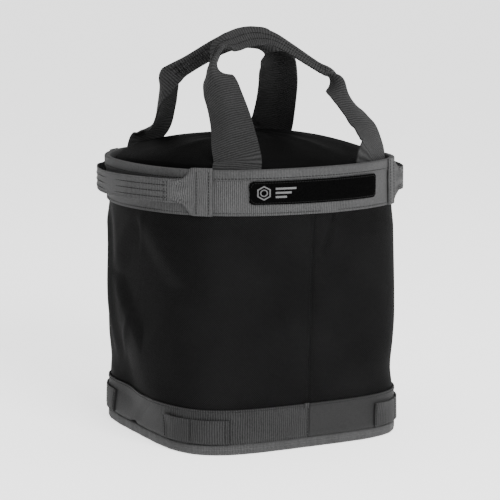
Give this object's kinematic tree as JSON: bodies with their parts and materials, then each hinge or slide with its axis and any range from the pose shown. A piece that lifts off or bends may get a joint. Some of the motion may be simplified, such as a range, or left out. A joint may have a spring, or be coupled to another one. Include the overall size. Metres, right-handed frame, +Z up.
{
  "type": "tool bucket organizer",
  "caption": "Soft-sided tool bucket with webbing rim and base bands, leaning carry handles, side grips, inner pockets and a drawn cover that folds open.",
  "frame": {"origin": "centre of the base, on the surface that the bucket stands on", "axes": "+Z up out of the mouth; -Y is the front, with the hook-and-loop strip; +X is the right side handle"},
  "size_m": [0.334, 0.3187, 0.445],
  "materials": {
    "black_nylon": "coarse matte plain weave",
    "grey_webbing": "ribbed matte webbing",
    "grey_binding": "thin ribbed tape",
    "cover_fabric": "thin smooth weave",
    "loop_pile": "matte loop pile",
    "base_board": "fine grained sheet",
    "pocket_lining": "smooth weave"
  },
  "bodies": {
    "bucket": {"left_body_panel": "black_nylon", "right_body_panel": "black_nylon", "front_seam_tape": "grey_binding", "back_seam_tape": "grey_binding", "rim_band": "grey_webbing", "rim_binding": "grey_binding", "left_base_band": "grey_webbing", "right_base_band": "grey_webbing", "base_piping": "grey_binding", "base_panel": "black_nylon", "base_board": "base_board", "front_pocket": "pocket_lining", "right_pocket": "pocket_lining", "back_pocket": "pocket_lining", "left_pocket": "pocket_lining", "front_right_loop": "grey_webbing", "back_right_loop": "grey_webbing", "back_left_loop": "grey_webbing", "front_left_loop": "grey_webbing", "front_patch": "loop_pile", "left_anchor_front": "grey_webbing", "left_anchor_back": "grey_webbing", "right_anchor_front": "grey_webbing", "right_anchor_back": "grey_webbing", "front_handle_tab_left": "grey_webbing", "front_handle_tab_right": "grey_webbing", "back_handle_tab_left": "grey_webbing", "back_handle_tab_right": "grey_webbing", "cover_ring": "cover_fabric"},
    "front_handle": {"front_handle": "grey_webbing"},
    "back_handle": {"back_handle": "grey_webbing"},
    "left_side_handle": {"left_side_handle": "grey_webbing"},
    "right_side_handle": {"right_side_handle": "grey_webbing"},
    "cover_gore_1": {"cover_gore_1": "cover_fabric"},
    "cover_gore_2": {"cover_gore_2": "cover_fabric"},
    "cover_gore_3": {"cover_gore_3": "cover_fabric"},
    "cover_gore_4": {"cover_gore_4": "cover_fabric"},
    "cover_gore_5": {"cover_gore_5": "cover_fabric"},
    "cover_gore_6": {"cover_gore_6": "cover_fabric"},
    "cover_gore_7": {"cover_gore_7": "cover_fabric"},
    "cover_gore_8": {"cover_gore_8": "cover_fabric"}
  },
  "joints": [
    {"name": "front_handle_swing", "type": "hinge", "parent": "bucket", "child": "front_handle", "pos_m": [0, -0.11782, 0.31557], "axis": [1, 0, 0], "range_deg": [0, 130]},
    {"name": "back_handle_swing", "type": "hinge", "parent": "bucket", "child": "back_handle", "pos_m": [0, 0.11782, 0.31557], "axis": [-1, 0, 0], "range_deg": [0, 130]},
    {"name": "left_side_handle_tilt", "type": "hinge", "parent": "bucket", "child": "left_side_handle", "pos_m": [-0.14165, 0, 0.2796], "axis": [0, 1, 0], "range_deg": [-12, 12]},
    {"name": "right_side_handle_tilt", "type": "hinge", "parent": "bucket", "child": "right_side_handle", "pos_m": [0.14165, 0, 0.2796], "axis": [0, -1, 0], "range_deg": [-12, 12]},
    {"name": "cover_open", "type": "hinge", "parent": "bucket", "child": "cover_gore_1", "pos_m": [0.0486, -0.11733, 0.3105], "axis": [-0.9239, -0.3827, 0], "range_deg": [0, 100]},
    {"name": "cover_gore_2_fold", "type": "hinge", "parent": "bucket", "child": "cover_gore_2", "pos_m": [0.11733, -0.0486, 0.3105], "axis": [-0.3827, -0.9239, 0], "range_deg": [0, 100]},
    {"name": "cover_gore_3_fold", "type": "hinge", "parent": "bucket", "child": "cover_gore_3", "pos_m": [0.11733, 0.0486, 0.3105], "axis": [0.3827, -0.9239, 0], "range_deg": [0, 100]},
    {"name": "cover_gore_4_fold", "type": "hinge", "parent": "bucket", "child": "cover_gore_4", "pos_m": [0.0486, 0.11733, 0.3105], "axis": [0.9239, -0.3827, 0], "range_deg": [0, 100]},
    {"name": "cover_gore_5_fold", "type": "hinge", "parent": "bucket", "child": "cover_gore_5", "pos_m": [-0.0486, 0.11733, 0.3105], "axis": [0.9239, 0.3827, 0], "range_deg": [0, 100]},
    {"name": "cover_gore_6_fold", "type": "hinge", "parent": "bucket", "child": "cover_gore_6", "pos_m": [-0.11733, 0.0486, 0.3105], "axis": [0.3827, 0.9239, 0], "range_deg": [0, 100]},
    {"name": "cover_gore_7_fold", "type": "hinge", "parent": "bucket", "child": "cover_gore_7", "pos_m": [-0.11733, -0.0486, 0.3105], "axis": [-0.3827, 0.9239, 0], "range_deg": [0, 100]},
    {"name": "cover_gore_8_fold", "type": "hinge", "parent": "bucket", "child": "cover_gore_8", "pos_m": [-0.0486, -0.11733, 0.3105], "axis": [-0.9239, 0.3827, 0], "range_deg": [0, 100]}
  ],
  "couplings": [
    {"joint": "cover_gore_2_fold", "follows": "cover_open", "ratio": 1},
    {"joint": "cover_gore_3_fold", "follows": "cover_open", "ratio": 1},
    {"joint": "cover_gore_4_fold", "follows": "cover_open", "ratio": 1},
    {"joint": "cover_gore_5_fold", "follows": "cover_open", "ratio": 1},
    {"joint": "cover_gore_6_fold", "follows": "cover_open", "ratio": 1},
    {"joint": "cover_gore_7_fold", "follows": "cover_open", "ratio": 1},
    {"joint": "cover_gore_8_fold", "follows": "cover_open", "ratio": 1}
  ]
}
